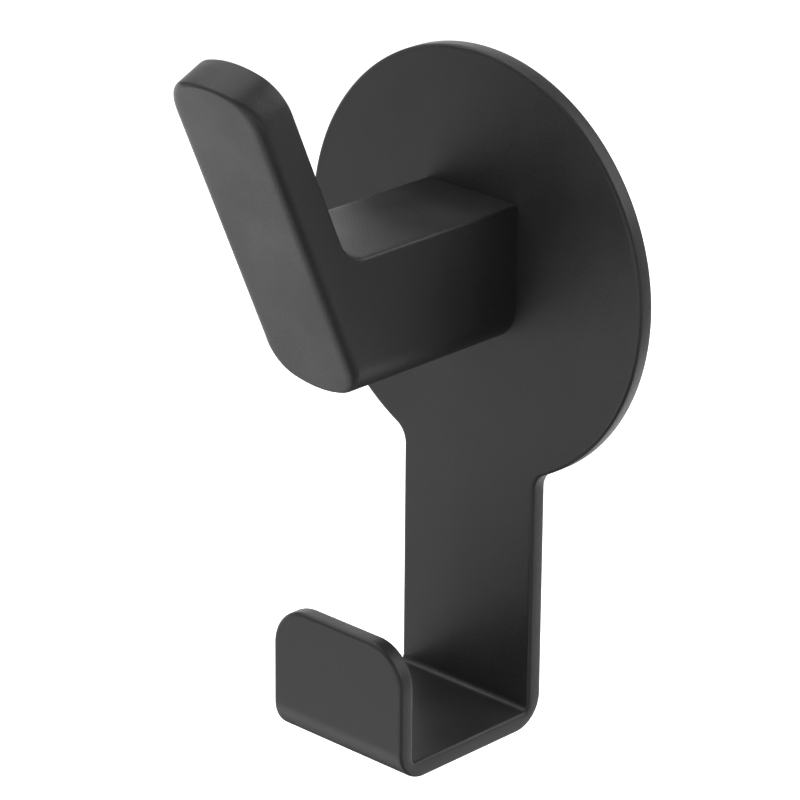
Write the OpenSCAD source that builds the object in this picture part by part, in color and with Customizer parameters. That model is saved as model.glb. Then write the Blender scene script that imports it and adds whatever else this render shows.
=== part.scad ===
// Two-tier wall hook for a pair of headphones and their cable.
// A round back plate carries a cast upper hook: an arm with a flat top and a rounded
// underside, and a leaning paddle with an arched tip. The plate's tail is bent forward
// into a lower hook with an upright lip.
// Two countersunk screws hold the upper hook from behind, under a foam adhesive pad.
// Origin: centre of the pad's wall face. +Z is up, and the hooks reach towards -Y.

/* [Back plate] */
// Diameter of the round plate
disc_d = 60; // [50:1:80]
// Thickness of the sheet, coating included
sheet_t = 2.5; // [2.2:0.1:3]
// Width of the tail and of the lower hook
tail_w = 24; // [18:0.5:30]
// Radius of the fillets where the tail leaves the disc
neck_r = 3; // [1:0.5:5]

/* [Lower hook] */
// Height of the disc's centre above the lower hook's floor
floor_drop = 62.2; // [45:0.1:80]
// Clear space between the tail and the lip
cradle_depth = 22.8; // [15:0.1:30]
// Height of the lip above the floor
lip_h = 17; // [12:0.5:25]
// Radius of the lip's two top corners
lip_corner_r = 6; // [2:0.5:8.5]
// Inner radius of both bends
bend_r = 0.8; // [0.5:0.1:2.5]
// Outer radius of both bends
bend_outer_r = 4.8; // [3:0.1:5]

/* [Upper hook] */
// Width of the arm and the paddle
arm_w = 16.5; // [14:0.5:20]
// Height of the arm's flat top above the disc's centre
arm_top = 10.4; // [6:0.1:14]
// Height of the arm, from the lowest point of its rounded underside
arm_h = 20.3; // [16:0.1:24]
// Distance from the plate to the paddle's front face, at the arm's underside
reach = 28.6; // [24:0.1:40]
// Angle by which the paddle leans away from the wall
lean = 24; // [10:1:35]
// Thickness of the paddle
paddle_t = 5.6; // [4:0.1:8]
// Length of the paddle's front face, from the arm's underside to the tip
paddle_l = 50.1; // [40:0.1:60]
// Radius of the paddle's front edges
edge_r = 1.5; // [0.5:0.1:2.5]
// Radius of the arched tip and of the arched underside
arch_r = 14.5; // [12:0.5:20]
// Radius where the arches meet the straight sides
arch_corner_r = 5.5; // [2:0.5:5.5]
// Radius of the inner corner between arm and paddle
crook_r = 5; // [1:0.5:6]

/* [Screws and pad] */
// Diameter of the screw thread
screw_d = 4; // [3:0.5:4]
// Length of the screws, head included
screw_l = 12; // [8:1:16]
// Distance between the two screws
screw_pitch = 9; // [8.5:0.1:10]
// Diameter of the adhesive pad
pad_d = 54; // [40:1:58]
// Thickness of the adhesive pad
pad_t = 1; // [0.5:0.1:2]

/* [Hidden] */
$fn = 96;

eps = 0.01;
big = 200;
// How far a rounding circle bites into the lines and arcs it joins, so that they always meet.
bite = 0.004;

plate_back = pad_t;
plate_front = pad_t + sheet_t;
floor_under = -floor_drop - sheet_t;
lip_front = cradle_depth + sheet_t;
lip_top = lip_h - floor_drop;
neck_x = tail_w / 2 + neck_r - bite;
neck_z = -sqrt(pow(disc_d / 2 + neck_r - bite, 2) - pow(neck_x, 2));
arm_bottom = arm_top - arm_h;
arm_mid = arm_top - arm_h / 2;

head_r = screw_d * 0.94;
head_rim = 0.25;
head_sink = 0.1;
thread_clearance = 0.05;
hex_across = screw_d * 0.625;
hex_depth = 1.3;
screw_tip = 0.5;
tapped_depth = screw_l - sheet_t + 2;

// Stands a drawing of the side view across the hook: x runs out from the plate's front
// face, y is the height.
module across(width) {
  translate([0, -plate_front, 0])
    rotate([90, 0, -90])
      translate([0, 0, -width / 2])
        linear_extrude(width)
          children();
}

// Stands a drawing of the front view against the plate: x is the width, y the height,
// and it goes from depth `from` to depth `to`, both measured from the wall.
module facing(from, to) {
  translate([0, -from, 0])
    rotate([90, 0, 0])
      linear_extrude(to - from)
        children();
}

// The piece between a corner at the origin and the arc that rounds it, with some of what
// is behind the corner. One side of the corner runs along +x, the other `angle` degrees
// above it.
module corner_piece(r, angle) {
  side = (r - bite) / tan(angle / 2);
  behind = 1;
  difference() {
    polygon([
      [0, -behind],
      [side, -behind],
      [side, r - bite],
      [side * cos(angle) - behind * sin(angle), side * sin(angle) + behind * cos(angle)],
      [-behind * sin(angle), behind * cos(angle)]
    ]);
    translate([side, r - bite])
      circle(r);
  }
}

// The disc and the flat part of the tail, seen from the front.
module plate_outline() {
  circle(disc_d / 2, $fn = 180);
  translate([-tail_w / 2, floor_under + bend_outer_r])
    square([tail_w, -floor_under - bend_outer_r]);
  for (side = [-1, 1])
    scale([side, 1])
      difference() {
        polygon([[0, 0], [neck_x, neck_z], [0, neck_z]]);
        translate([neck_x, neck_z])
          circle(neck_r);
      }
}

// A block with its two lower corners rounded, seen from the side.
module bend_block(back, front, under, r) {
  for (x = [back + r, front - r])
    translate([x, under + r])
      circle(r);
  translate([back + r, under])
    square([front - back - 2 * r, lip_top - under]);
  translate([back, under + r])
    square([front - back, lip_top - under - r]);
}

// Both bends, the floor between them, the lip, and the tail beside it, seen from the side.
module hook_bend() {
  difference() {
    bend_block(-sheet_t, lip_front, floor_under, bend_outer_r);
    translate([0, eps])
      bend_block(0, cradle_depth, -floor_drop - eps, bend_r);
  }
}

// Outline that rounds the lip's top corners, seen from the front.
module lip_outline() {
  straight = tail_w - 2 * lip_corner_r;
  translate([-tail_w / 2, floor_under - 1])
    square([tail_w, lip_top - floor_under + 1 - lip_corner_r]);
  translate([-straight / 2, lip_top - lip_corner_r - eps])
    square([straight, lip_corner_r + eps]);
  for (side = [-1, 1])
    translate([side * straight / 2, lip_top - lip_corner_r])
      circle(lip_corner_r);
}

// Places one child at each screw, on the plate's back face, pointing to the front.
module at_screws() {
  for (side = [-1, 1])
    translate([0, -plate_back, arm_mid + side * screw_pitch / 2])
      rotate([90, 0, 0])
        children();
}

// Cone and rim of a countersunk head, from its flat top down to the thread.
module countersink(r, extra) {
  translate([0, 0, -extra])
    cylinder(r = r, h = head_rim + head_sink + extra);
  translate([0, 0, head_rim + head_sink])
    cylinder(r1 = r, r2 = screw_d / 2, h = r - screw_d / 2);
}

module hanger_plate() {
  color("#26272a")
    difference() {
      union() {
        facing(plate_back, plate_front)
          plate_outline();
        intersection() {
          across(tail_w)
            hook_bend();
          facing(0, plate_front + lip_front + 1)
            lip_outline();
        }
      }
      at_screws() {
        countersink(head_r + thread_clearance, 1);
        cylinder(d = screw_d + 0.4, h = sheet_t + 1);
      }
    }
}

// Arm and paddle, seen from the side. It runs on by `spare` at the front, below and past
// the tip, where the other outlines trim it.
module hook_profile() {
  spare = 2;
  along = [sin(lean), cos(lean)];
  forward = [cos(lean), -sin(lean)];
  heel = [reach, arm_bottom];
  tip = heel + (paddle_l + spare) * along;
  crook = [reach + arm_h * tan(lean) - paddle_t / cos(lean), arm_top];
  polygon([
    [0, arm_bottom - spare],
    heel + spare * (forward - along),
    tip + spare * forward,
    tip - paddle_t * forward,
    crook,
    [0, arm_top]
  ]);
  translate(crook)
    mirror([1, 0])
      corner_piece(crook_r, 90 + lean);
}

// A long strip of the arm's width that ends in an arch, whose top is at the origin.
module arched_strip() {
  corner_x = arm_w / 2 - arch_corner_r;
  rise = sqrt(pow(arch_r - arch_corner_r + bite, 2) - pow(corner_x, 2));
  spread = arch_r / (arch_r - arch_corner_r);
  translate([-arm_w / 2, -arch_r + rise - big])
    square([arm_w, big]);
  translate([0, -arch_r]) {
    for (side = [-1, 1])
      translate([side * corner_x, rise])
        circle(arch_corner_r);
    intersection() {
      circle(arch_r);
      polygon([[0, 0], 2 * spread * [corner_x, rise], 2 * spread * [-corner_x, rise]]);
    }
    translate([-corner_x, 0])
      square([2 * corner_x, rise]);
  }
}

// Section of the paddle, seen along it: its front edges are rounded.
module paddle_section() {
  translate([-arm_w / 2, edge_r])
    square([arm_w, big]);
  translate([-arm_w / 2 + edge_r, 0])
    square([arm_w - 2 * edge_r, big]);
  for (side = [-1, 1])
    translate([side * (arm_w / 2 - edge_r), edge_r])
      circle(edge_r);
}

// Moves its child from the origin to the paddle's lower front edge, and leans it over.
module on_paddle() {
  translate([0, -plate_front - reach, arm_bottom])
    rotate([lean, 0, 0])
      children();
}

module upper_hook() {
  color("#2b2c30")
    difference() {
      intersection() {
        across(arm_w + 2)
          hook_profile();
        facing(0, big)
          translate([0, arm_bottom])
            mirror([0, 1])
              arched_strip();
        on_paddle()
          translate([0, 0, -big / 2])
            linear_extrude(big)
              paddle_section();
        on_paddle()
          translate([0, big / 2, paddle_l])
            rotate([90, 0, 0])
              linear_extrude(big)
                arched_strip();
      }
      at_screws()
        cylinder(r = screw_d / 2 + thread_clearance, h = sheet_t + tapped_depth);
    }
}

module hook_screws() {
  color("#8d9197")
    at_screws()
      difference() {
        union() {
          translate([0, 0, head_sink])
            cylinder(r = head_r, h = head_rim);
          translate([0, 0, head_sink + head_rim])
            cylinder(r1 = head_r, r2 = screw_d / 2, h = head_r - screw_d / 2);
          translate([0, 0, head_sink])
            cylinder(d = screw_d, h = screw_l - screw_tip - head_sink);
          translate([0, 0, screw_l - screw_tip])
            cylinder(r1 = screw_d / 2, r2 = screw_d / 2 - screw_tip, h = screw_tip);
        }
        translate([0, 0, -1])
          cylinder(d = hex_across / cos(30), h = hex_depth + head_sink + 1, $fn = 6);
      }
}

module adhesive_pad() {
  color("#1c1c1e")
    facing(0, pad_t)
      circle(pad_d / 2, $fn = 180);
}

hanger_plate();
upper_hook();
hook_screws();
adhesive_pad();
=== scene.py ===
"""Looks of a two-tier wall hook for headphones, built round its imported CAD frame.

The bent back plate, the cast upper hook, its two screws and the adhesive pad are each
worked out as arrays of points, in millimetres, and turned into closed meshes in metres.
"""

import logging
import math
from dataclasses import dataclass, field
from enum import Enum
from typing import Callable

import bmesh
import bpy
import numpy as np
from mathutils import Matrix, Vector


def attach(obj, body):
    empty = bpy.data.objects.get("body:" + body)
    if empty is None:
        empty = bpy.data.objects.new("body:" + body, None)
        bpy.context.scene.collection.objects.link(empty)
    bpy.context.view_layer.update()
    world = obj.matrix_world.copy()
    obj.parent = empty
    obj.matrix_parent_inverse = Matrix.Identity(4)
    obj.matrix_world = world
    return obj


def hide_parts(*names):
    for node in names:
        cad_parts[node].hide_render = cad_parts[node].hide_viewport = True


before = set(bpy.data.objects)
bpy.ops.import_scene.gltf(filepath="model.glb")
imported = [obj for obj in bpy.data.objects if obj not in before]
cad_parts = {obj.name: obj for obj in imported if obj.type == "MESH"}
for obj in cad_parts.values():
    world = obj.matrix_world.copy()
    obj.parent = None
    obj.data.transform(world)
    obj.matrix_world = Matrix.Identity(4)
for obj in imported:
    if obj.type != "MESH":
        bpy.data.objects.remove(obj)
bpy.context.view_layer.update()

log = logging.getLogger("headphone_hook")

Array = np.ndarray
Material = bpy.types.Material
MeshObject = bpy.types.Object
Colour = tuple[float, float, float, float]

MM = 0.001
BODY = "root"
EDGE_MASK = "edge_mask"
WELD_DIGITS = 4
SHARP_TURN = math.radians(28.0)
LEFT = np.array([-1.0, 1.0, 1.0])


# ---------------------------------------------------------------- arrays and meshes


def arc_angles(start: float, end: float, count: int) -> Array:
    """Returns `count` angles in radians, evenly spaced between two given in degrees."""
    return np.radians(np.linspace(start, end, count))


def on_circle(angle: Array) -> Array:
    """Returns the points (cos a, sin a) for angles in radians, shape (n, 2)."""
    return np.stack([np.cos(angle), np.sin(angle)], axis=-1)


def mirrored_path(right: Array) -> Array:
    """Carries the right half of a path on over to its mirror image about x = 0.

    Args:
        right: Points of the right half, shape (n, 3), from its start to x = 0.

    Returns:
        The whole path, shape (2n - 1, 3), with the middle point once.
    """
    left = right[-2::-1] * LEFT
    return np.concatenate([right, left])


@dataclass
class Shell:
    """Patches of one closed surface, which are welded along their shared borders.

    Fields hold the patches' points in millimetres, each point's edge mask, from 0 on a
    face to 1 on a rounded edge, and the faces as rows of point numbers.
    """

    points: list[Array] = field(default_factory=list)
    masks: list[Array] = field(default_factory=list)
    quads: list[Array] = field(default_factory=list)
    flats: list[Array] = field(default_factory=list)
    count: int = 0

    def keep(self, points: Array, mask: Array) -> int:
        """Stores points with their edge mask.

        Args:
            points: Points, shape (..., 3).
            mask: Edge mask, which is spread over all the points.

        Returns:
            The number of the first point.
        """
        first = self.count
        self.points.append(points.reshape(-1, 3))
        self.masks.append(np.broadcast_to(mask, points.shape[:-1]).reshape(-1))
        self.count += self.points[-1].shape[0]
        return first

    def grid(self, points: Array, mask: Array | float = 0.0, closed: bool = False) -> None:
        """Adds a grid of points as four-sided faces.

        Args:
            points: Points, shape (rows, columns, 3).
            mask: Edge mask, which is spread over the whole grid.
            closed: True where the last row joins the first one.
        """
        rows, columns = points.shape[:2]
        number = self.keep(points, np.asarray(mask)) + np.arange(rows * columns)
        number = number.reshape(rows, columns)
        after = np.roll(number, -1, axis=0)
        stop = rows if closed else rows - 1
        self.quads.append(
            np.stack(
                [
                    number[:stop, :-1],
                    number[:stop, 1:],
                    after[:stop, 1:],
                    after[:stop, :-1],
                ],
                axis=-1,
            ).reshape(-1, 4)
        )

    def flat(self, rim: Array) -> None:
        """Adds one flat face inside a closed rim of points, shape (n, 3)."""
        first = self.keep(rim, np.zeros(1))
        self.flats.append(first + np.arange(rim.shape[0]))

    def build(self, name: str) -> MeshObject:
        """Welds the patches and makes the mesh, with its faces turned outwards.

        Points that agree to a ten-thousandth of a millimetre become one. A quad that
        loses one corner to this becomes a triangle, and one that loses two is dropped.

        Args:
            name: The piece's name.

        Returns:
            The new piece.
        """
        points = np.concatenate(self.points)
        key = np.round(points, WELD_DIGITS) + 0.0
        _, first, index = np.unique(key, axis=0, return_index=True, return_inverse=True)
        index = index.reshape(-1)
        quads = index[np.concatenate(self.quads)]
        same = quads == np.roll(quads, -1, axis=1)
        whole = quads[same.sum(axis=1) == 0]
        folded = same.sum(axis=1) == 1
        lost = np.argmax(same[folded], axis=1)
        turn = (lost[:, None] + np.arange(1, 4)) % 4
        triangles = np.take_along_axis(quads[folded], turn, axis=1)
        flats = [self.without_repeats(index[rim]) for rim in self.flats]

        mesh = bpy.data.meshes.new(name)
        faces = flats + whole.tolist() + triangles.tolist()
        mesh.from_pydata((points[first] * MM).tolist(), [], faces)
        smooth = np.ones(len(faces), dtype=bool)
        smooth[: len(flats)] = False
        mesh.polygons.foreach_set("use_smooth", smooth)
        layer = mesh.attributes.new(EDGE_MASK, "FLOAT", "POINT")
        layer.data.foreach_set("value", np.concatenate(self.masks)[first].astype(np.float32))
        mesh.validate()
        return finished_object(name, mesh)

    @staticmethod
    def without_repeats(rim: Array) -> list[int]:
        """Returns a rim's point numbers with each run of equal ones kept once."""
        return rim[rim != np.roll(rim, 1)].tolist()


def finished_object(name: str, mesh: bpy.types.Mesh) -> MeshObject:
    """Links a closed mesh as an object at the origin, with all its faces outwards.

    Args:
        name: The object's name.
        mesh: A closed mesh, in metres.

    Returns:
        The object.
    """
    work = bmesh.new()
    work.from_mesh(mesh)
    bmesh.ops.recalc_face_normals(work, faces=work.faces)
    work.to_mesh(mesh)
    work.free()
    mesh.set_sharp_from_angle(angle=SHARP_TURN)
    piece = bpy.data.objects.new(name, mesh)
    bpy.context.scene.collection.objects.link(piece)
    return piece


@dataclass(frozen=True)
class RollingEdge:
    """A rounded edge between two surfaces, as a ball leaves it that rolls along inside.

    Where the surfaces' outward normals are a and b, and the sharp edge would be at P,
    the ball's centre is P - r (a + b) / (1 + a.b), and the edge is the arc of radius r
    about it that turns from a to b.
    """

    edge: Array
    face: Array
    rim: Array
    radius: Array

    def centre(self) -> Array:
        """Returns the ball's centre for each point of the edge."""
        along = np.sum(self.face * self.rim, axis=-1, keepdims=True)
        return self.edge - self.radius * (self.face + self.rim) / (1.0 + along)

    def arc(self, steps: int) -> Array:
        """Works out the arc at each point of the edge.

        The normal at the share t of a turn w is (sin((1 - t) w) a + sin(t w) b) / sin(w).

        Args:
            steps: The number of faces across the arc.

        Returns:
            Points, shape (n, steps + 1, 3).
        """
        turn = np.arccos(np.clip(np.sum(self.face * self.rim, axis=-1), -1.0, 1.0))
        turn = turn[:, None, None]
        share = np.linspace(0.0, 1.0, steps + 1)[None, :, None]
        normal = np.sin((1.0 - share) * turn) * self.face[:, None, :]
        normal = (normal + np.sin(share * turn) * self.rim[:, None, :]) / np.sin(turn)
        radius = np.broadcast_to(self.radius, self.edge.shape)[:, None, :1]
        return self.centre()[:, None, :] + radius * normal

    def with_face(self, spine: Array, shares: Array, steps: int) -> tuple[Array, Array]:
        """Returns a grid that runs over the face from its spine and round the edge.

        Args:
            spine: The point on the face's middle line for each point of the edge.
            shares: How far from the spine, 0, to the arc's start, 1, each column lies.
            steps: The number of faces across the arc.

        Returns:
            The grid's points, and its edge mask, which is 1 in the middle of the arc.
        """
        arc = self.arc(steps)
        start = arc[:, :1, :]
        inner = spine[:, None, :] + shares[None, :, None] * (start - spine[:, None, :])
        bulge = np.sin(np.pi * np.linspace(0.0, 1.0, steps + 1))
        mask = np.concatenate([np.zeros(shares.size), bulge])
        return np.concatenate([inner, arc], axis=1), mask


def lathe(profile: Array, count: int) -> Array:
    """Turns a profile about the z axis.

    Args:
        profile: Points (radius, height), shape (n, 2).
        count: The number of steps round the axis.

    Returns:
        Points (r cos a, r sin a, h) for `count` angles a, shape (count, n, 3). The
        angles start half a step in, so that no point lies on another piece's middle line.
    """
    angle = (np.arange(count)[:, None] + 0.5) * (2.0 * np.pi / count)
    radius = np.broadcast_to(profile[None, :, 0], (count, profile.shape[0]))
    height = np.broadcast_to(profile[None, :, 1], (count, profile.shape[0]))
    return np.stack([radius * np.cos(angle), radius * np.sin(angle), height], axis=-1)


def cut_away(piece: MeshObject, cutters: list[MeshObject]) -> None:
    """Cuts closed shapes out of a piece, applies the result and removes the cutters.

    Args:
        piece: The piece, whose mesh is replaced by the cut one.
        cutters: Closed shapes that reach out of the piece.
    """
    for number, cutter in enumerate(cutters):
        cut = piece.modifiers.new(f"cut_{number}", "BOOLEAN")
        cut.operation = "DIFFERENCE"
        cut.solver = "EXACT"
        cut.object = cutter
    bpy.context.view_layer.update()
    solid = piece.evaluated_get(bpy.context.evaluated_depsgraph_get())
    mesh = bpy.data.meshes.new_from_object(solid)
    mesh.set_sharp_from_angle(angle=SHARP_TURN)
    piece.modifiers.clear()
    mesh.name = piece.data.name
    piece.data = mesh
    for cutter in cutters:
        bpy.data.objects.remove(cutter)


# ---------------------------------------------------------------- finishes


class Socket(Enum):
    """Kinds of socket on a node group."""

    VALUE = "NodeSocketFloat"
    COLOUR = "NodeSocketColor"
    VECTOR = "NodeSocketVector"


@dataclass
class Wiring:
    """A node tree with short ways to add nodes and links to it."""

    tree: bpy.types.NodeTree

    def node(self, kind: str, **settings: object) -> bpy.types.Node:
        """Adds a node.

        Args:
            kind: The node's type.
            **settings: Its properties, by name.

        Returns:
            The node.
        """
        made = self.tree.nodes.new(kind)
        for name, value in settings.items():
            setattr(made, name, value)
        return made

    def join(self, source: bpy.types.NodeSocket, target: bpy.types.NodeSocket) -> None:
        """Links an output socket to an input socket."""
        self.tree.links.new(source, target)

    def feed(self, target: bpy.types.NodeSocket, value: object) -> None:
        """Links a socket to another, or sets a plain value on it.

        Args:
            target: The input socket.
            value: An output socket, or a value that the target takes.
        """
        if isinstance(value, bpy.types.NodeSocket):
            self.join(value, target)
        else:
            target.default_value = value

    def math(self, operation: str, *values: object) -> bpy.types.NodeSocket:
        """Adds a Math node.

        Args:
            operation: What the node does.
            *values: A value or a socket for each of its inputs, in order.

        Returns:
            The node's output.
        """
        made = self.node("ShaderNodeMath", operation=operation)
        for target, value in zip(made.inputs, values):
            self.feed(target, value)
        return made.outputs[0]

    def mix(self, share: object, low: object, high: object) -> bpy.types.NodeSocket:
        """Adds a colour Mix node.

        Args:
            share: How much of the high colour there is, from 0 to 1.
            low: The colour or socket at 0.
            high: The colour or socket at 1.

        Returns:
            The mixed colour.
        """
        made = self.node("ShaderNodeMix", data_type="RGBA")
        self.feed(made.inputs[0], share)
        self.feed(made.inputs[6], low)
        self.feed(made.inputs[7], high)
        return made.outputs[2]

    def ramp(self, share: object, low: float, high: float) -> bpy.types.NodeSocket:
        """Adds a Map Range to 0..1, smoothed and held at both ends.

        Args:
            share: The value or socket that is mapped.
            low: What becomes 0.
            high: What becomes 1.

        Returns:
            The mapped value.
        """
        made = self.node("ShaderNodeMapRange", interpolation_type="SMOOTHSTEP")
        self.feed(made.inputs["Value"], share)
        made.inputs["From Min"].default_value = low
        made.inputs["From Max"].default_value = high
        return made.outputs["Result"]

    def noise(self, place: object, scale: object, detail: float) -> bpy.types.NodeSocket:
        """Adds a Noise Texture.

        Args:
            place: Where on the piece the pattern is read.
            scale: Its cells per metre.
            detail: Its number of finer layers.

        Returns:
            The noise, from 0 to 1.
        """
        made = self.node("ShaderNodeTexNoise")
        self.feed(made.inputs["Vector"], place)
        self.feed(made.inputs["Scale"], scale)
        made.inputs["Detail"].default_value = detail
        return made.outputs[0]


def effect_group(
    name: str,
    inputs: dict[str, tuple[Socket, object]],
    outputs: dict[str, Socket],
    wire: Callable[[Wiring, bpy.types.Node, bpy.types.Node], None],
) -> bpy.types.NodeTree:
    """Builds a shader node group with named sockets, once.

    Args:
        name: The group's name.
        inputs: Each input's kind and first value.
        outputs: Each output's kind.
        wire: Fills the group, from its input node to its output node.

    Returns:
        The group, which is made on the first call and found again on later ones.
    """
    known = bpy.data.node_groups.get(name)
    if known:
        return known
    tree = bpy.data.node_groups.new(name, "ShaderNodeTree")
    for label, (kind, value) in inputs.items():
        made = tree.interface.new_socket(label, in_out="INPUT", socket_type=kind.value)
        if kind is not Socket.VECTOR:
            made.default_value = value
    for label, kind in outputs.items():
        tree.interface.new_socket(label, in_out="OUTPUT", socket_type=kind.value)
    wiring = Wiring(tree)
    wire(wiring, wiring.node("NodeGroupInput"), wiring.node("NodeGroupOutput"))
    return tree


def wire_coat_grain(wiring: Wiring, given: bpy.types.Node, out: bpy.types.Node) -> None:
    """Powder grain: fine pimples on a slower ripple, both from noise.

    Height is pimples plus a share of ripple; Mottle is a slow, soft variation for colour
    and roughness.

    Args:
        wiring: The group's wiring.
        given: Its input node.
        out: Its output node.
    """
    place = given.outputs["Place"]
    size = given.outputs["Grain Size"]
    fine = wiring.noise(place, wiring.math("DIVIDE", 1.0, size), 2.0)
    wide = wiring.noise(place, wiring.math("DIVIDE", 0.22, size), 1.0)
    slow = wiring.noise(place, wiring.math("DIVIDE", 0.022, size), 3.0)
    pimples = wiring.ramp(fine, 0.32, 0.72)
    ripple = wiring.math("MULTIPLY", wide, given.outputs["Ripple"])
    wiring.join(wiring.math("ADD", pimples, ripple), out.inputs["Height"])
    wiring.join(wiring.ramp(slow, 0.3, 0.7), out.inputs["Mottle"])


def coat_grain() -> bpy.types.NodeTree:
    """Gives the group for the grain of a powder coat.

    Returns:
        The group, which every material that uses it shares.
    """
    return effect_group(
        "coat_grain",
        {
            "Place": (Socket.VECTOR, None),
            "Grain Size": (Socket.VALUE, 0.0002),
            "Ripple": (Socket.VALUE, 0.5),
        },
        {"Height": Socket.VALUE, "Mottle": Socket.VALUE},
        wire_coat_grain,
    )


def wire_edge_wear_and_highlight(wiring: Wiring, given: bpy.types.Node, out: bpy.types.Node) -> None:
    """Edge wear and painted edge highlight: the edge mask, broken up by noise, lightens the colour
    and smooths the coat.

    Args:
        wiring: The group's wiring.
        given: Its input node.
        out: Its output node.
    """
    patchy = wiring.noise(given.outputs["Place"], given.outputs["Break Up"], 3.0)
    patchy = wiring.ramp(patchy, 0.3, 0.75)
    worn_and_lit = wiring.math("MULTIPLY", given.outputs["Edge"], given.outputs["Amount"])
    steady = wiring.math("MULTIPLY", worn_and_lit, 0.55)
    broken = wiring.math("MULTIPLY", wiring.math("MULTIPLY", worn_and_lit, patchy), 0.45)
    wear_and_highlight = wiring.math("ADD", steady, broken)
    wiring.join(wear_and_highlight, out.inputs["Wear And Highlight"])
    # The lighter colour on edges is partly rubbed wear and partly a painted highlight on the
    # rounded edges.
    colour = wiring.mix(wear_and_highlight, given.outputs["Colour"], given.outputs["Worn And Highlight Colour"])
    wiring.join(colour, out.inputs["Colour"])


def edge_wear_and_highlight() -> bpy.types.NodeTree:
    """Gives the group for slightly lighter edges: partly rubbed wear, partly a painted highlight.

    Returns:
        The group, which every material that uses it shares.
    """
    return effect_group(
        "edge_wear_and_highlight",
        {
            "Place": (Socket.VECTOR, None),
            "Edge": (Socket.VALUE, 0.0),
            "Amount": (Socket.VALUE, 0.5),
            "Break Up": (Socket.VALUE, 900.0),
            "Colour": (Socket.COLOUR, (0.03, 0.03, 0.03, 1.0)),
            "Worn And Highlight Colour": (Socket.COLOUR, (0.1, 0.1, 0.1, 1.0)),
        },
        {"Wear And Highlight": Socket.VALUE, "Colour": Socket.COLOUR},
        wire_edge_wear_and_highlight,
    )


def wire_dust(wiring: Wiring, given: bpy.types.Node, out: bpy.types.Node) -> None:
    """Dust: rare pale specks, where a fine cell pattern's distance is very small.

    Args:
        wiring: The group's wiring.
        given: Its input node.
        out: Its output node.
    """
    cells = wiring.node("ShaderNodeTexVoronoi", feature="F1")
    wiring.join(given.outputs["Place"], cells.inputs["Vector"])
    wiring.join(given.outputs["Density"], cells.inputs["Scale"])
    near = wiring.ramp(cells.outputs["Distance"], 0.11, 0.05)
    chance = wiring.node("ShaderNodeSeparateColor")
    wiring.join(cells.outputs["Color"], chance.inputs["Color"])
    rare = wiring.math("GREATER_THAN", chance.outputs[0], 0.86)
    speck = wiring.math("MULTIPLY", wiring.math("MULTIPLY", near, rare), given.outputs["Amount"])
    colour = wiring.mix(speck, given.outputs["Colour"], given.outputs["Dust Colour"])
    wiring.join(colour, out.inputs["Colour"])


def dust() -> bpy.types.NodeTree:
    """Gives the group for a few pale specks of dust.

    Returns:
        The group, which every material that uses it shares.
    """
    return effect_group(
        "dust",
        {
            "Place": (Socket.VECTOR, None),
            "Amount": (Socket.VALUE, 0.3),
            "Density": (Socket.VALUE, 700.0),
            "Colour": (Socket.COLOUR, (0.03, 0.03, 0.03, 1.0)),
            "Dust Colour": (Socket.COLOUR, (0.3, 0.3, 0.3, 1.0)),
        },
        {"Colour": Socket.COLOUR},
        wire_dust,
    )


def start_material(name: str) -> tuple[Material, Wiring, bpy.types.Node, bpy.types.NodeSocket]:
    """Makes an empty material with its shader.

    Args:
        name: The material's name.

    Returns:
        The material, its wiring, its Principled shader and the Object coordinates.
    """
    material = bpy.data.materials.new(name)
    material.use_nodes = True
    wiring = Wiring(material.node_tree)
    material.node_tree.nodes.clear()
    shader = wiring.node("ShaderNodeBsdfPrincipled")
    output = wiring.node("ShaderNodeOutputMaterial")
    wiring.join(shader.outputs[0], output.inputs["Surface"])
    place = wiring.node("ShaderNodeTexCoord").outputs["Object"]
    return material, wiring, shader, place


def edge_mask(wiring: Wiring) -> bpy.types.NodeSocket:
    """Returns the mesh's own edge mask as a socket."""
    return wiring.node("ShaderNodeAttribute", attribute_name=EDGE_MASK).outputs["Fac"]


def place_group(
    wiring: Wiring, tree: bpy.types.NodeTree, values: dict[str, object]
) -> bpy.types.Node:
    """Places a node group in a material.

    Args:
        wiring: The material's wiring.
        tree: The group.
        values: A value or a socket for each named input that isn't left as it is.

    Returns:
        The group's node.
    """
    made = wiring.node("ShaderNodeGroup", node_tree=tree)
    for label, value in values.items():
        wiring.feed(made.inputs[label], value)
    return made


def raise_surface(
    wiring: Wiring, shader: bpy.types.Node, height: bpy.types.NodeSocket, depth: float
) -> None:
    """Turns a height pattern into a bump.

    Args:
        wiring: The material's wiring.
        shader: Its Principled shader.
        height: The pattern.
        depth: What a height of 1 stands for, in metres.
    """
    bump = wiring.node("ShaderNodeBump")
    bump.inputs["Strength"].default_value = 1.0
    bump.inputs["Distance"].default_value = depth
    wiring.join(height, bump.inputs["Height"])
    wiring.join(bump.outputs["Normal"], shader.inputs["Normal"])


def grey(value: float, tint: float = 0.0) -> Colour:
    """Returns a grey, a little bluer by `tint`."""
    return (value, value * (1.0 + 0.4 * tint), value * (1.0 + tint), 1.0)


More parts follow.
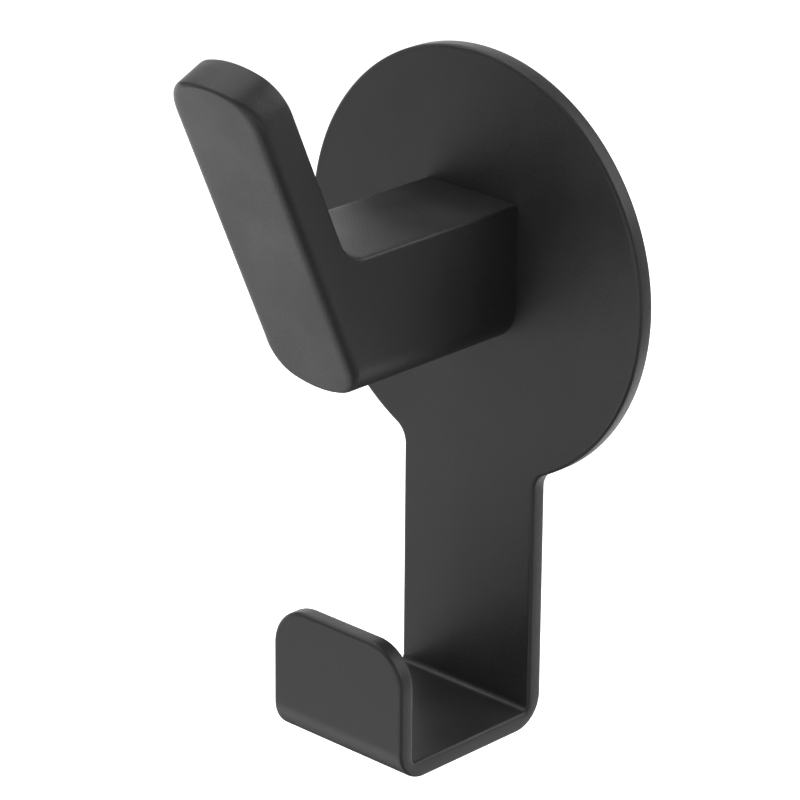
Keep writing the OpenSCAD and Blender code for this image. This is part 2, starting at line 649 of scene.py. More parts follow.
@dataclass(frozen=True)
class PowderCoat:
    """Matte black powder coat on metal: fine grain, soft mottling, and edges lightened partly as
    rubbed wear and partly as a painted highlight.
    """

    name: str
    body: float = 0.022
    tint: float = 0.03
    # Colour of the lightened edges: rubbed wear and painted highlight.
    worn_and_lit: float = 0.05
    grain_size: float = 0.00022
    grain_depth: float = 0.000012
    ripple: float = 0.9
    roughness: float = 0.45
    edge_amount: float = 0.2
    dust_amount: float = 0.1

    def material(self) -> Material:
        """Builds the material of this finish.

        Returns:
            The material, which reads Object coordinates and the edge mask.
        """
        material, wiring, shader, place = start_material(self.name)
        grain = place_group(
            wiring,
            coat_grain(),
            {"Place": place, "Grain Size": self.grain_size, "Ripple": self.ripple},
        )
        mottled = wiring.mix(
            grain.outputs["Mottle"],
            grey(self.body * 0.9, self.tint),
            grey(self.body * 1.1, self.tint),
        )
        edge = edge_mask(wiring)
        # Lightens the colour along the rounded edges: partly rubbed wear, partly a painted
        # highlight.
        wear_and_highlight = place_group(
            wiring,
            edge_wear_and_highlight(),
            {
                "Place": place,
                "Edge": edge,
                "Amount": self.edge_amount,
                "Colour": mottled,
                "Worn And Highlight Colour": grey(self.worn_and_lit, self.tint),
            },
        )
        specks = place_group(
            wiring,
            dust(),
            {"Place": place, "Amount": self.dust_amount, "Colour": wear_and_highlight.outputs["Colour"]},
        )
        wiring.join(specks.outputs["Colour"], shader.inputs["Base Color"])
        uneven = wiring.math("SUBTRACT", grain.outputs["Mottle"], 0.5)
        matte = wiring.math("MULTIPLY_ADD", uneven, 0.08, self.roughness)
        rough = wiring.math("SUBTRACT", matte, wiring.math("MULTIPLY", wear_and_highlight.outputs["Wear And Highlight"], 0.1))
        wiring.join(rough, shader.inputs["Roughness"])
        raise_surface(wiring, shader, grain.outputs["Height"], self.grain_depth)
        return material


@dataclass(frozen=True)
class ZincPlate:
    """Bright zinc plating on steel screws: fine grain, with the thread crests and the head's rim
    painted lighter than the grooves, partly as rubbed wear and partly as painted highlight and
    shade.
    """

    name: str = "zinc_plate"
    body: float = 0.56
    # Colour of the lightened crests: rubbed wear and painted highlight.
    worn_and_lit: float = 0.75
    roughness: float = 0.34
    grain_size: float = 0.00012
    grain_depth: float = 0.000004
    wear_and_highlight_scale: float = 2500.0

    def material(self) -> Material:
        """Builds the material of this finish.

        Returns:
            The material, which reads Object coordinates and the edge mask.
        """
        material, wiring, shader, place = start_material(self.name)
        grain = place_group(
            wiring,
            coat_grain(),
            {"Place": place, "Grain Size": self.grain_size, "Ripple": 1.5},
        )
        edge = edge_mask(wiring)
        clouded = wiring.mix(
            grain.outputs["Mottle"], grey(self.body * 0.85, 0.04), grey(self.body, 0.02)
        )
        # Lightens the thread crests and the head's rim against the grooves: partly rubbed wear,
        # partly painted highlight and shade.
        wear_and_highlight = place_group(
            wiring,
            edge_wear_and_highlight(),
            {
                "Place": place,
                "Edge": edge,
                "Amount": 0.5,
                "Break Up": self.wear_and_highlight_scale,
                "Colour": clouded,
                "Worn And Highlight Colour": grey(self.worn_and_lit),
            },
        )
        wiring.join(wear_and_highlight.outputs["Colour"], shader.inputs["Base Color"])
        shader.inputs["Metallic"].default_value = 1.0
        rough = wiring.math("MULTIPLY_ADD", grain.outputs["Mottle"], 0.12, self.roughness)
        wiring.join(rough, shader.inputs["Roughness"])
        raise_surface(wiring, shader, grain.outputs["Height"], self.grain_depth)
        return material


@dataclass(frozen=True)
class FoamTape:
    """Black acrylic foam: open cells in its rim, a satin adhesive film on its faces."""

    name: str = "foam_tape"
    body: float = 0.03
    cell_size: float = 0.00028
    film_grain_size: float = 0.0004
    pit_depth: float = 0.00006

    def material(self) -> Material:
        """Builds the material of this finish.

        Returns:
            The material, which reads Object coordinates and the edge mask.
        """
        material, wiring, shader, place = start_material(self.name)
        cells = wiring.node("ShaderNodeTexVoronoi", feature="SMOOTH_F1")
        wiring.join(place, cells.inputs["Vector"])
        cells.inputs["Scale"].default_value = 1.0 / self.cell_size
        pits = wiring.ramp(cells.outputs["Distance"], 0.1, 0.65)
        grain = place_group(
            wiring,
            coat_grain(),
            {"Place": place, "Grain Size": self.film_grain_size, "Ripple": 0.6},
        )
        edge = edge_mask(wiring)
        film = wiring.mix(
            grain.outputs["Mottle"], grey(self.body * 0.8, 0.05), grey(self.body * 1.3, 0.05)
        )
        # The foam is painted darker down in its pits, where the bump sinks deepest: painted shade
        # in the open cells.
        foam = wiring.mix(pits, grey(self.body * 1.8, 0.02), grey(self.body * 0.7, 0.02))
        wiring.join(wiring.mix(edge, film, foam), shader.inputs["Base Color"])
        rough = wiring.math("MULTIPLY_ADD", edge, 0.35, 0.5)
        wiring.join(rough, shader.inputs["Roughness"])
        depth = wiring.math("MULTIPLY", pits, edge)
        film_grain = wiring.math("MULTIPLY", grain.outputs["Height"], 0.2)
        height = wiring.math("SUBTRACT", film_grain, depth)
        raise_surface(wiring, shader, height, self.pit_depth)
        return material


# ---------------------------------------------------------------- the hook's pieces


@dataclass
class Assembly:
    """Shared sizes and steps of the hook's pieces. Sizes are in millimetres."""

    pad_thick: float = 1.0
    sheet_thick: float = 2.5

    @property
    def plate_front(self) -> float:
        """Distance of the plate's front face from the wall."""
        return self.pad_thick + self.sheet_thick

    def dress(self, piece: MeshObject, finish: Material, slot: str, *nodes: str) -> None:
        """Gives a piece its finish, sets it on the frame and reports it.

        Args:
            piece: The finished piece.
            finish: Its material.
            slot: The name of its material slot; not used.
            *nodes: The CAD nodes that it stands in for.
        """
        piece.data.materials.clear()
        piece.data.materials.append(finish)
        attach(piece, BODY)
        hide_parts(*nodes)
        log.info("%s: %d faces, for %s", piece.name, len(piece.data.polygons), ", ".join(nodes))


@dataclass
class Screws(Assembly):
    """Two countersunk screws with a hexagon socket, which hold the upper hook from behind."""

    thread_d: float = 4.0
    length: float = 12.0
    spacing: float = 9.0
    middle_height: float = 0.25
    head_r: float = 3.76
    head_sink: float = 0.1
    head_rim: float = 0.25
    socket_across: float = 2.5
    socket_depth: float = 1.3
    pitch: float = 0.7
    thread_depth: float = 0.3
    crest_share: float = 0.14
    root_share: float = 0.14
    run_in: float = 0.5
    run_out: float = 0.6
    plate_clearance: float = 0.2
    clearance: float = 0.05
    spare_depth: float = 2.0
    turns_around: int = 96
    thread_steps: int = 150
    hole_sides: int = 64

    def heights(self) -> list[float]:
        """Returns the height of each screw's axis."""
        return [self.middle_height + side * self.spacing / 2 for side in (-1, 1)]

    def placed(self, points: Array, height: float) -> Array:
        """Turns points drawn along +z to lie along -y from the plate's back, at a height."""
        x, y, z = np.moveaxis(points, -1, 0)
        return np.stack([x, -self.pad_thick - z, y + height], axis=-1)

    def surface(self) -> tuple[Array, Array]:
        """Works out one screw along +z, from the bottom of its socket to its tip.

        The radius is a function of the angle a and of the place k along the profile. In
        the socket it is the hexagon's, w / 2 / cos(b) with b the angle from the nearest
        flat's middle. On the thread it is r less a groove, whose depth is a smooth wave
        of (height / pitch - a / turn).

        Returns:
            Points, shape (angles, places, 3), and the edge mask.
        """
        angle = np.linspace(0.0, 2.0 * np.pi, self.turns_around, endpoint=False)[:, None]
        sixth = np.pi / 3
        hexagon = self.socket_across / 2 / np.cos(np.mod(angle, sixth) - sixth / 2)
        top, bottom = self.head_sink, self.head_sink + self.socket_depth
        thread_r = self.thread_d / 2
        neck = top + self.head_rim + self.head_r - thread_r
        socket = np.array([[0.0, bottom + 0.5], [0.97, bottom], [1.0, bottom], [1.0, top + 0.12]])
        lip = np.array([[1.09, top + 0.01], [1.16, top]])
        head = np.array(
            [
                [self.head_r - 0.14, top],
                [self.head_r - 0.04, top + 0.03],
                [self.head_r, top + 0.12],
                [self.head_r, top + self.head_rim],
                [thread_r + 0.08, neck - 0.08],
                [thread_r - 0.02, neck + 0.05],
            ]
        )
        start, stop = neck + 0.15, self.length - 0.55
        along = np.linspace(start, stop, self.thread_steps)
        phase = along[None, :] / self.pitch - angle / (2.0 * np.pi)
        wave = np.abs(np.mod(phase, 1.0) - 0.5) * 2.0
        flank = 1.0 - self.crest_share - self.root_share
        groove = np.clip((wave - self.crest_share) / flank, 0.0, 1.0)
        fade = np.clip((along - start) / self.run_in, 0.0, 1.0)
        fade = fade * np.clip((stop - along) / self.run_out, 0.0, 1.0)
        thread = thread_r - 0.02 - self.thread_depth * groove * fade[None, :]
        end = self.length
        tip = np.array([[thread_r - 0.1, end - 0.4], [1.35, end], [0.0, end]])

        rows = self.turns_around
        around = np.ones((rows, 1))
        radius = np.concatenate(
            [
                socket[:, 0] * hexagon,
                lip[:, 0] * hexagon,
                head[:, 0] * around,
                thread,
                tip[:, 0] * around,
            ],
            axis=1,
        )
        height = np.concatenate([socket[:, 1], lip[:, 1], head[:, 1], along, tip[:, 1]])
        height = np.broadcast_to(height[None, :], radius.shape)
        # The crest mask marks where the zinc finish paints the metal lighter, on the thread crests
        # and the head's rim, as wear and painted highlight.
        crest = np.concatenate(
            [
                np.zeros((rows, socket.shape[0])),
                np.ones((rows, lip.shape[0])),
                np.tile([1.0, 1.0, 0.6, 0.2, 0.0, 0.0], (rows, 1)),
                1.0 - groove,
                np.zeros((rows, tip.shape[0])),
            ],
            axis=1,
        )
        points = np.stack([radius * np.cos(angle), radius * np.sin(angle), height], axis=-1)
        return points, crest

    def build(self) -> MeshObject:
        """Builds both screws as one piece.

        Returns:
            The piece.
        """
        shell = Shell()
        points, mask = self.surface()
        for height in self.heights():
            shell.grid(self.placed(points, height), mask, closed=True)
        return shell.build("hook_screws_turned")

    def cutter(self, name: str, profile: Array, height: float) -> MeshObject:
        """Builds a turned shape that cuts one screw's hole.

        Args:
            name: The cutter's name.
            profile: Points (radius, depth from the plate's back), shape (n, 2).
            height: The height of the screw's axis.

        Returns:
            The cutter.
        """
        shell = Shell()
        shell.grid(self.placed(lathe(profile, self.hole_sides), height), closed=True)
        return shell.build(name)

    def plate_cutters(self) -> list[MeshObject]:
        """Builds the cutters for the countersunk holes through the plate.

        Returns:
            One closed shape for each screw.
        """
        seat = self.head_r + self.clearance
        rim = self.head_sink + self.head_rim
        cone = rim + seat - self.thread_d / 2
        hole = self.thread_d / 2 + self.plate_clearance
        narrow = cone - self.plate_clearance
        past = self.sheet_thick + 1.5
        profile = np.array(
            [[0.0, -1.0], [seat, -1.0], [seat, rim], [hole, narrow], [hole, past], [0.0, past]]
        )
        return [self.cutter("plate_cut", profile, height) for height in self.heights()]

    def hook_cutters(self) -> list[MeshObject]:
        """Builds the cutters for the blind holes in the upper hook's butt.

        Returns:
            One closed shape for each screw.
        """
        bore = self.thread_d / 2 + self.clearance
        end = self.length + self.spare_depth
        profile = np.array([[0.0, 1.0], [bore, 1.0], [bore, end], [0.0, end]])
        return [self.cutter("hook_cut", profile, height) for height in self.heights()]


@dataclass
class BackPlate(Assembly):
    """Round plate, tail and lower hook, bent from one sheet.

    The sheet is drawn flat, with x across it and s down its middle line from the disc's
    centre, and then folded round the two bends.
    """

    disc_r: float = 30.0
    tail_w: float = 24.0
    neck_r: float = 3.0
    floor_drop: float = 62.2
    cradle_depth: float = 22.8
    lip_h: float = 17.0
    lip_corner_r: float = 6.0
    bend_r: float = 0.8
    bend_outer_r: float = 4.8
    edge_r: float = 0.5
    near_rim: tuple[float, float] = (0.6, 0.12)
    near_bend: float = 0.4
    arc_steps: int = 6
    bend_steps: int = 24

    @property
    def bend_start(self) -> float:
        """Distance from the inner corner at which the sheet starts to bend."""
        return self.bend_outer_r - self.sheet_thick

    @property
    def breaks(self) -> Array:
        """Adds up the stretches of the flat sheet: tail, bend, floor, bend and lip.

        Returns:
            How far down the sheet each of the five ends.
        """
        return np.cumsum(
            [
                self.floor_drop - self.bend_start,
                2 * self.bend_start,
                self.cradle_depth - 2 * self.bend_start,
                2 * self.bend_start,
                self.lip_h - self.bend_start,
            ]
        )

    def bend(self, share: Array, n: Array) -> tuple[Array, Array]:
        """Follows the bend from the tail on to the floor, at each depth in the sheet.

        The inner arc is tighter than the outer one, so the sheet runs on straight for a
        while on both sides of it.

        Args:
            share: How much of the way round the bend has been gone, from 0 to 1.
            n: Depth below the front face.

        Returns:
            Distance out from the tail's front face, and height above the floor.
        """
        depth = n / self.sheet_thick
        centre = self.bend_r + (self.bend_start - self.bend_r) * depth
        ring = self.bend_r + (self.bend_outer_r - self.bend_r) * depth
        straight = self.bend_start - centre
        arc = ring * math.pi / 2
        way = np.clip(share, 0.0, 1.0) * (2 * straight + arc)
        turn = np.clip((way - straight) / ring, 0.0, math.pi / 2)
        out = centre - ring * np.cos(turn) + np.maximum(way - straight - arc, 0.0)
        up = centre - ring * np.sin(turn) + np.maximum(straight - way, 0.0)
        return out, up

    def folded(self, flat: Array) -> Array:
        """Folds points of the flat sheet into their place.

        On the tail the point (x, s, n) stays at height -s and depth n. The second bend
        is the first one mirrored, and the floor and the lip carry on straight.

        Args:
            flat: Points (across, down, depth below the front face), shape (..., 3).

        Returns:
            Points in the hook's own axes, same shape.
        """
        x, s, n = np.moveaxis(flat, -1, 0)
        tail, first, floor, second, _ = self.breaks
        out_1, up_1 = self.bend((s - tail) / (first - tail), n)
        out_2, up_2 = self.bend((second - s) / (second - floor), n)
        steps = [s <= tail, s <= first, s <= floor, s <= second]
        out = np.select(
            steps,
            [-n, out_1, self.bend_start + s - first, self.cradle_depth - out_2],
            self.cradle_depth + n,
        )
        up = np.select(
            steps,
            [self.floor_drop - s, up_1, -n, up_2],
            self.bend_start + s - second,
        )
        return np.stack([x, -self.plate_front - out, up - self.floor_drop], axis=-1)

    def half_outline(self) -> tuple[Array, Array]:
        """Draws the right half of the flat sheet's outline, from the disc's top to the lip's.

        Returns:
            Points (x, s) and outward normals, both of shape (n, 2).
        """
        half = self.tail_w / 2
        reach = self.disc_r + self.neck_r
        neck_x = half + self.neck_r
        neck_s = math.sqrt(reach**2 - neck_x**2)
        meet = math.pi - math.asin(neck_x / reach)
        a = np.linspace(0.0, meet, 90)
        disc_n = on_circle(a)[:, ::-1] * np.array([1.0, -1.0])
        disc = self.disc_r * disc_n

        toward = math.atan2(-neck_s, -neck_x) + 2 * math.pi
        a = np.linspace(toward, math.pi, 12)[1:]
        fillet_n = -on_circle(a)
        fillet = np.array([neck_x, neck_s]) - self.neck_r * fillet_n

        tail, first, floor, second, end = self.breaks
        down = np.concatenate(
            [
                np.linspace(neck_s, tail - self.near_bend, 14)[1:],
                np.linspace(tail, first, self.bend_steps + 1),
                np.linspace(first + self.near_bend, floor - self.near_bend, 8),
                np.linspace(floor, second, self.bend_steps + 1),
                np.linspace(second + self.near_bend, end - self.lip_corner_r, 5),
            ]
        )
        side = np.stack([np.full_like(down, half), down], axis=-1)
        side_n = np.tile([1.0, 0.0], (down.size, 1))

        a = arc_angles(0.0, 90.0, 20)[1:]
        corner_n = on_circle(a)
        centre = np.array([half - self.lip_corner_r, end - self.lip_corner_r])
        corner = centre + self.lip_corner_r * corner_n
        top_x = np.linspace(half - self.lip_corner_r, 0.0, 5)[1:]
        top = np.stack([top_x, np.full_like(top_x, end)], axis=-1)
        top_n = np.tile([0.0, 1.0], (top_x.size, 1))
        points = np.concatenate([disc, fillet, side, corner, top])
        normals = np.concatenate([disc_n, fillet_n, side_n, corner_n, top_n])
        return points, normals

    def section(self) -> tuple[Array, Array, Array]:
        """Draws the way from the front face's middle line, round the rim, to the back's.

        Returns:
            For each place on it: the share of the way out from the middle line, the
            distance in from the outline, and the depth. The share is 1 once the
            distance counts.
        """
        turn = arc_angles(0.0, 90.0, self.arc_steps + 1)
        inset = np.array(self.near_rim) + self.edge_r
        arc_in = self.edge_r * (1.0 - np.sin(turn))
        arc_down = self.edge_r * (1.0 - np.cos(turn))
        share = np.concatenate([[0.0, 0.5], np.ones(inset.size + arc_in.size)])
        inward = np.concatenate([[0.0, 0.0], inset, arc_in])
        depth = np.concatenate([np.zeros(2 + inset.size), arc_down])
        back = self.sheet_thick - depth[::-1]
        return (
            np.concatenate([share, share[::-1]]),
            np.concatenate([inward, inward[::-1]]),
            np.concatenate([depth, back]),
        )

    def surface(self) -> tuple[Array, Array]:
        """Works out the sheet's whole skin as one grid round its outline.

        A row goes with a point P of the outline and its normal N: its places are
        S + share (P - inward N - S), at their depth, where S is the nearest point of
        the sheet's middle line.

        Returns:
            Folded points, shape (outline, section, 3), and the edge mask.
        """
        right, normal = self.half_outline()
        flip = np.array([-1.0, 1.0])
        outline = np.concatenate([right, right[-2:0:-1] * flip])
        outward = np.concatenate([normal, normal[-2:0:-1] * flip])
        share, inward, depth = self.section()
        end = self.breaks[-1] - self.tail_w / 2
        spine = np.stack([np.zeros(len(outline)), np.clip(outline[:, 1], 0.0, end)], axis=-1)
        rim = outline[:, None, :] - inward[None, :, None] * outward[:, None, :]
        flat = spine[:, None, :] + share[None, :, None] * (rim - spine[:, None, :])
        deep = np.broadcast_to(depth[None, :, None], (*flat.shape[:2], 1))
        bulge = np.sin(np.pi * np.clip(1.0 - inward / self.edge_r, 0.0, 1.0)) * share
        return self.folded(np.concatenate([flat, deep], axis=-1)), bulge

    def build(self, screws: Screws) -> MeshObject:
        """Builds the plate with its two countersunk holes.

        Args:
            screws: The screws that the holes are for.

        Returns:
            The piece.
        """
        shell = Shell()
        points, mask = self.surface()
        shell.grid(points, mask, closed=True)
        piece = shell.build("back_plate_bent")
        cut_away(piece, screws.plate_cutters())
        return piece


@dataclass
class UpperHook(Assembly):
    """Cast upper hook: an arm with a flat top and a rounded underside, and a leaning paddle.

    The side view has o out from the plate and z up. The paddle's front is a plane that
    leans by `lean`, on which l runs from the heel to the tip.
    """

    width: float = 16.5
    arm_top: float = 10.4
    arm_h: float = 20.3
    reach: float = 28.6
    lean: float = 24.0
    paddle_t: float = 5.6
    paddle_l: float = 50.1
    arch_r: float = 14.5
    corner_r: float = 5.5
    crook_r: float = 5.0
    side_edge_r: float = 1.6
    tip_edge_r: float = 0.5
    heel_edge_r: float = 0.6
    back_edge_r: float = 0.45
    spine_inset: float = 7.0
    arc_steps: int = 8
    strip_steps: int = 3

    def __post_init__(self) -> None:
        """Works out the directions and places that several surfaces share."""
        self.tilt = math.radians(self.lean)
        self.up = np.array([0.0, math.sin(self.tilt), math.cos(self.tilt)])
        self.front = np.array([0.0, math.cos(self.tilt), -math.sin(self.tilt)])
        self.side = np.array([1.0, 0.0, 0.0])
        self.heel = np.array([0.0, self.reach, self.arm_top - self.arm_h])
        self.corner_x = self.width / 2 - self.corner_r
        inner = self.arch_r - self.corner_r
        self.rise = math.sqrt(inner**2 - self.corner_x**2)
        self.arch_turn = math.degrees(math.atan2(self.corner_x, self.rise))
        self.shoulder = self.arch_r - self.rise

    def placed(self, points: Array) -> Array:
        """Takes points (x, o, z) to the hook's own axes, where o runs towards -y."""
        x, o, z = np.moveaxis(points, -1, 0)
        return np.stack([x, -self.plate_front - o, z], axis=-1)

    def arch(self) -> tuple[Array, Array]:
        """Draws the right half of the arch that ends the paddle and the arm.

        It is an arc of the large radius about the axis, then a tangent arc of the corner
        radius down to the straight side.

        Returns:
            Points (x, how far above the shoulder), and the angle of each point's normal
            from the arch's own axis, in radians, both from the top to the side.
        """
        wide = arc_angles(0.0, self.arch_turn, 14)
        tight = arc_angles(self.arch_turn, 90.0, 20)[1:]
        top = on_circle(wide)[:, ::-1] * self.arch_r
        top[:, 1] -= self.rise
        corner = on_circle(tight)[:, ::-1] * self.corner_r
        corner[:, 0] += self.corner_x
        return np.concatenate([top, corner]), np.concatenate([wide, tight])

    def front_half(self) -> tuple[Array, Array, Array, int]:
        """Draws the right half of the front face's sharp outline, from tip to heel.

        Returns:
            Points, the outward normals of the rim behind them, the edge radii, and the
            count of the points on each arch.
        """
        arch, turn = self.arch()
        sine, cosine = np.sin(turn)[:, None], np.cos(turn)[:, None]
        tip_l = self.paddle_l - self.shoulder + arch[:, 1:]
        tip = self.heel + arch[:, :1] * self.side + tip_l * self.up
        tip_n = sine * self.side + cosine * self.up

        heel_z = self.shoulder - arch[::-1, 1:]
        heel_l = heel_z / self.up[2]
        heel = self.heel + arch[::-1, :1] * self.side + heel_l * self.up
        down = np.array([0.0, 0.0, -1.0])
        heel_n = sine[::-1] * self.side + cosine[::-1] * down

        between = np.linspace(0.0, 1.0, 9)[1:-1, None]
        side = tip[-1] + between * (heel[0] - tip[-1])
        side_n = np.tile(self.side, (between.size, 1))

        blend = np.sin(turn)[:, None] ** 2
        tip_r = self.tip_edge_r + (self.side_edge_r - self.tip_edge_r) * blend
        heel_r = self.heel_edge_r + (self.side_edge_r - self.heel_edge_r) * blend[::-1]
        side_r = np.full((between.size, 1), self.side_edge_r)
        return (
            np.concatenate([tip, side, heel]),
            np.concatenate([tip_n, side_n, heel_n]),
            np.concatenate([tip_r, side_r, heel_r]),
            turn.size,
        )

    def back_half(self) -> tuple[Array, Array, Array, Array]:
        """Draws the right edge of the arm's top, crook and paddle's back, butt to tip.

        Returns:
            Points, the face's normals, the rim's normals, and the points of the face's
            middle line.
        """
        x = self.width / 2
        behind = self.paddle_t / math.cos(self.tilt)
        corner_o = self.reach + self.arm_h * math.tan(self.tilt) - behind
        touch = self.crook_r / math.tan(math.radians(90.0 + self.lean) / 2)
        centre = np.array([x, corner_o - touch, self.arm_top + self.crook_r])

        o = np.linspace(0.0, corner_o - touch, 6)[:-1]
        top = np.stack([np.full_like(o, x), o, np.full_like(o, self.arm_top)], axis=-1)
        top_n = np.tile([0.0, 0.0, 1.0], (o.size, 1))
        turn = arc_angles(-90.0, -self.lean, 15)
        spoke = np.stack([np.zeros_like(turn), np.cos(turn), np.sin(turn)], axis=-1)
        crook = centre + self.crook_r * spoke

        arch, angle = self.arch()
        arch, angle = arch[::-1], angle[::-1]
        back = self.heel - self.paddle_t * self.front
        tip_l = self.paddle_l - self.shoulder + arch[:, 1:]
        tip = back + arch[:, :1] * self.side + tip_l * self.up
        rim_n = np.sin(angle)[:, None] * self.side + np.cos(angle)[:, None] * self.up
        between = np.linspace(0.0, 1.0, 7)[1:-1, None]
        rise = crook[-1] + between * (tip[0] - crook[-1])

        points = np.concatenate([top, crook, rise, tip])
        straight = len(points) - len(tip)
        face_n = np.concatenate([top_n, -spoke, np.tile(-self.front, (len(rise) + len(tip), 1))])
        rim = np.concatenate([np.tile(self.side, (straight, 1)), rim_n])
        spine = points * np.array([0.0, 1.0, 1.0])
        spine[straight:] = spine[straight]
        return points, face_n, rim, spine

    def build(self, screws: Screws) -> MeshObject:
        """Builds the hook as one closed skin, with its two blind holes.

        The front face with its rounded edge is one grid, and the arm's top, crook and
        paddle's back with theirs another. Strips join the two round the tip and run
        from the heel to the butt, and flat faces close the sides and the butt.

        Args:
            screws: The screws that the holes are for.

        Returns:
            The piece.
        """
        shell = Shell()
        shares = np.array([0.0, 0.5, 0.9])

        half, rim_half, radius_half, arch_count = self.front_half()
        loop = mirrored_path(half)[:-1]
        rims = mirrored_path(rim_half)[:-1]
        radius = np.concatenate([radius_half, radius_half[-2::-1]])[:-1]
        faces = np.tile(self.front, (len(loop), 1))
        along = (loop - self.heel) @ self.up
        middle = np.clip(along, self.spine_inset, self.paddle_l - self.spine_inset)
        spine = self.heel + middle[:, None] * self.up
        edge = RollingEdge(loop, faces, rims, radius)
        grid, mask = edge.with_face(spine, shares, self.arc_steps)
        grid[..., 0] = np.clip(grid[..., 0], -self.width / 2, self.width / 2)
        shell.grid(self.placed(grid), mask, closed=True)
        front_rim = grid[:, -1]

        points, face_n, rim_n, spine = self.back_half()
        path = mirrored_path(points)
        radius = np.full((len(path), 1), self.back_edge_r)
        edge = RollingEdge(path, mirrored_path(face_n), mirrored_path(rim_n), radius)
        grid, mask = edge.with_face(mirrored_path(spine), shares, self.arc_steps // 2)
        shell.grid(self.placed(grid), mask)
        back_rim = grid[:, -1]

        whole_arch = 2 * arch_count - 1
        tip_front = np.roll(front_rim, arch_count - 1, axis=0)[:whole_arch]
        first = len(points) - arch_count
        tip_back = back_rim[first : first + whole_arch][::-1]
        ramp = np.linspace(0.0, 1.0, self.strip_steps + 1)[None, :, None]
        strip = tip_front[:, None, :] + ramp * (tip_back - tip_front)[:, None, :]
        shell.grid(self.placed(strip))
        tip_side = strip[-1, -2:0:-1]

        start = len(half) - arch_count
        heel_front = front_rim[start : start + whole_arch]
        heel_back = heel_front * np.array([1.0, 0.0, 1.0])
        strip = heel_front[:, None, :] + ramp * (heel_back - heel_front)[:, None, :]
        shell.grid(self.placed(strip))

        right_front = front_rim[arch_count - 1 : start + 1]
        right_back = back_rim[: first + 1]
        wall = np.concatenate([right_front, strip[0, 1:], right_back, tip_side])
        shell.flat(self.placed(wall))
        shell.flat(self.placed(wall * LEFT))
        butt = np.concatenate([heel_back, grid[-1, ::-1], grid[0, 1:]])
        shell.flat(self.placed(butt))

        piece = shell.build("upper_hook_cast")
        cut_away(piece, screws.hook_cutters())
        return piece


@dataclass
class AdhesivePad(Assembly):
    """Disc of double-sided foam tape, with a film on each face and a soft, drawn-in rim."""

    pad_r: float = 27.0
    corner: float = 0.12
    waist: float = 0.1
    rings: int = 14
    sides: int = 240

    def build(self) -> MeshObject:
        """Builds the pad as a turned profile.

        The rim is drawn in by a shallow half wave of the height, and each face is flat
        up to a small cut corner.

        Returns:
            The piece.
        """
        share = np.linspace(0.0, 1.0, self.rings)
        height = self.corner + share * (self.pad_thick - 2 * self.corner)
        radius = self.pad_r - self.waist * np.sin(np.pi * share)
        rim = np.stack([radius, height], axis=-1)
        face_r = [0.0, self.pad_r * 0.6, self.pad_r - 2 * self.corner, self.pad_r - self.corner]
        low = np.stack([face_r, np.zeros(len(face_r))], axis=-1)
        high = low[::-1] * np.array([1.0, 0.0]) + np.array([0.0, self.pad_thick])
        profile = np.concatenate([low, rim, high])
        mask = np.concatenate([np.zeros(len(low)), np.ones(len(rim)), np.zeros(len(high))])
        x, y, z = np.moveaxis(lathe(profile, self.sides), -1, 0)
        shell = Shell()
        shell.grid(np.stack([x, -z, y], axis=-1), mask, closed=True)
        return shell.build("adhesive_pad_foam")


# ---------------------------------------------------------------- stage, light, camera


def direction(azimuth: float, elevation: float) -> Vector:
    """Works out the way from the hook to something round it.

    Args:
        azimuth: Angle from the front, positive to the right, in degrees.
        elevation: Angle above the level, in degrees.

    Returns:
        The unit vector (sin a cos e, -cos a cos e, sin e).
    """
    a, e = math.radians(azimuth), math.radians(elevation)
    return Vector((math.sin(a) * math.cos(e), -math.cos(a) * math.cos(e), math.sin(e)))


@dataclass(frozen=True)
class AreaLight:
    """One soft square light. Angles are in degrees, sizes in metres, power in watts."""

    name: str
    azimuth: float
    elevation: float
    power: float
    distance: float = 0.9
    size: float = 0.8

    def build(self, target: Vector) -> None:
        """Places the light.

        Args:
            target: The point that it stands round and faces.
        """
        way = direction(self.azimuth, self.elevation)
        lamp = bpy.data.lights.new(self.name, "AREA")
        lamp.size = self.size
        lamp.energy = self.power
        holder = bpy.data.objects.new(self.name, lamp)
        holder.location = target + way * self.distance
        holder.rotation_euler = way.to_track_quat("Z", "Y").to_euler()
        holder.visible_camera = False
        bpy.context.scene.collection.objects.link(holder)


SOFT_LIGHTS = (
    AreaLight("left_low", -90.0, -20.0, 3.5),
    AreaLight("left_high", -90.0, 65.0, 4.0),
    AreaLight("left_behind", -135.0, 10.0, 3.0),
    AreaLight("front_low", 0.0, -20.0, 2.5),
    AreaLight("front_low_left", -45.0, -20.0, 0.5),
    AreaLight("front_high_left", -45.0, 40.0, 2.0),
    AreaLight("front_below_left", -45.0, -55.0, 2.0),
    AreaLight("front_right", 45.0, 0.0, 1.5),
    AreaLight("right_low", 90.0, -20.0, 1.0),
    AreaLight("right_behind", 135.0, 40.0, 5.0),
    AreaLight("right_behind_low", 135.0, -20.0, 1.0),
    AreaLight("behind_low", 180.0, -20.0, 4.0),
    AreaLight("behind_below", 180.0, -55.0, 1.5),
)


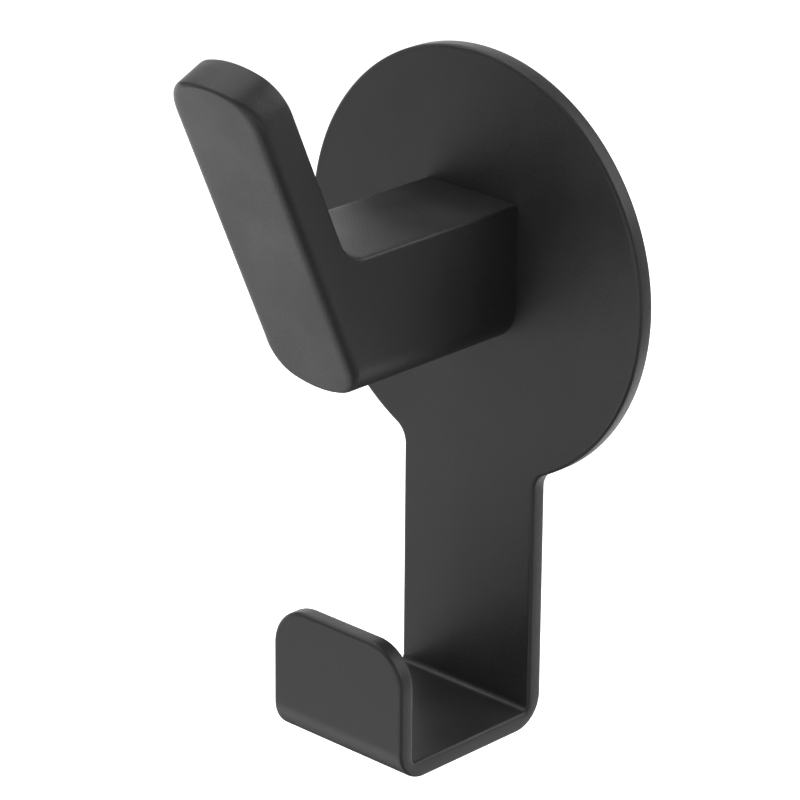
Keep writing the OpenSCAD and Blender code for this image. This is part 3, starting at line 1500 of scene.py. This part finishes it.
@dataclass
class Studio:
    """Plain pale floor, soft light and the camera.

    Lengths are in metres, angles in degrees, and the lens and the sensor in millimetres.
    """

    floor_z: float = -0.30
    floor_half: float = 4.0
    floor_rows: int = 41
    curl_start: float = 2.5
    curl_run: float = 1.5
    curl_rise: float = 0.5
    floor_grey: float = 0.82
    floor_glow: float = 1.19
    world_strength: float = 0.02
    backdrop: float = 0.975
    azimuth: float = 43.7172
    elevation: float = 22.0231
    roll: float = 0.493
    distance: float = 0.6072
    lens: float = 198.938
    sensor: float = 36.0
    clip: tuple[float, float] = (0.01, 50.0)
    target: tuple[float, float, float] = (-0.012828, -0.0035, -0.023261)
    light_target: tuple[float, float, float] = (0.0, -0.02, -0.01)

    def build_floor(self) -> None:
        """Builds the floor as a grid whose far rim curls up in a quarter wave."""
        steps = np.linspace(-1.0, 1.0, self.floor_rows) * self.floor_half
        x, y = np.meshgrid(steps, steps, indexing="ij")
        far = np.clip((np.hypot(x, y) - self.curl_start) / self.curl_run, 0.0, 1.0)
        height = self.floor_z + self.curl_rise * (1.0 - np.cos(0.5 * np.pi * far))
        shell = Shell()
        shell.grid(np.stack([x, y, height], axis=-1) / MM)
        floor = shell.build("studio_floor")
        material, wiring, shader, place = start_material("pale_floor")
        cloud = wiring.noise(place, 3.0, 2.0)
        tone = wiring.mix(cloud, grey(self.floor_grey - 0.01), grey(self.floor_grey + 0.01))
        wiring.join(tone, shader.inputs["Base Color"])
        shader.inputs["Roughness"].default_value = 0.9
        shader.inputs["Specular IOR Level"].default_value = 0.1
        wiring.join(tone, shader.inputs["Emission Color"])
        shader.inputs["Emission Strength"].default_value = self.floor_glow
        floor.data.materials.append(material)
        floor.visible_diffuse = False
        floor.visible_glossy = False
        floor.visible_shadow = False

    def build_world(self) -> None:
        """Sets an even, pale surrounding, which adds only a little light of its own."""
        world = bpy.data.worlds.new("studio_world")
        world.use_nodes = True
        wiring = Wiring(world.node_tree)
        sky = world.node_tree.nodes["Background"]
        seen = wiring.node("ShaderNodeLightPath").outputs["Is Camera Ray"]
        lift = self.backdrop - self.world_strength
        strength = wiring.math("MULTIPLY_ADD", seen, lift, self.world_strength)
        sky.inputs["Color"].default_value = (1.0, 1.0, 1.0, 1.0)
        wiring.join(strength, sky.inputs["Strength"])
        bpy.context.scene.world = world

    def build_lights(self) -> None:
        """Sets the soft lights round the hook."""
        for light in SOFT_LIGHTS:
            light.build(Vector(self.light_target))

    def build_camera(self) -> None:
        """Sets the camera: round the target at its angle and distance, rolled a little."""
        a, r = math.radians(self.azimuth), math.radians(self.roll)
        back = direction(self.azimuth, self.elevation)
        level = Vector((math.cos(a), math.sin(a), 0.0))
        rise = back.cross(level)
        right = math.cos(r) * level + math.sin(r) * rise
        up = -math.sin(r) * level + math.cos(r) * rise
        turn = Matrix((right, up, back)).transposed().to_4x4()
        lens = bpy.data.cameras.new("camera")
        lens.lens = self.lens
        lens.sensor_width = self.sensor
        lens.clip_start, lens.clip_end = self.clip
        camera = bpy.data.objects.new("camera", lens)
        camera.matrix_world = Matrix.Translation(Vector(self.target) + back * self.distance) @ turn
        bpy.context.scene.collection.objects.link(camera)
        bpy.context.scene.camera = camera

    def build(self) -> None:
        """Builds the whole stage."""
        self.build_floor()
        self.build_world()
        self.build_lights()
        self.build_camera()
        bpy.context.scene.view_settings.view_transform = "Standard"


def main() -> None:
    """Builds the hook's pieces in order, then the stage."""
    logging.basicConfig(level=logging.INFO, format="%(name)s: %(message)s")
    screws = Screws()
    plate = BackPlate()
    hook = UpperHook()
    pad = AdhesivePad()
    plate_coat = PowderCoat("plate_powder_coat").material()
    hook_coat = PowderCoat("hook_powder_coat").material()
    plate.dress(plate.build(screws), plate_coat, "plate_coat", "hanger_plate")
    hook.dress(hook.build(screws), hook_coat, "hook_coat", "upper_hook")
    screws.dress(screws.build(), ZincPlate().material(), "screw_steel", "hook_screws")
    pad.dress(pad.build(), FoamTape().material(), "pad_foam", "adhesive_pad")
    Studio().build()


if __name__ == "__main__":
    main()
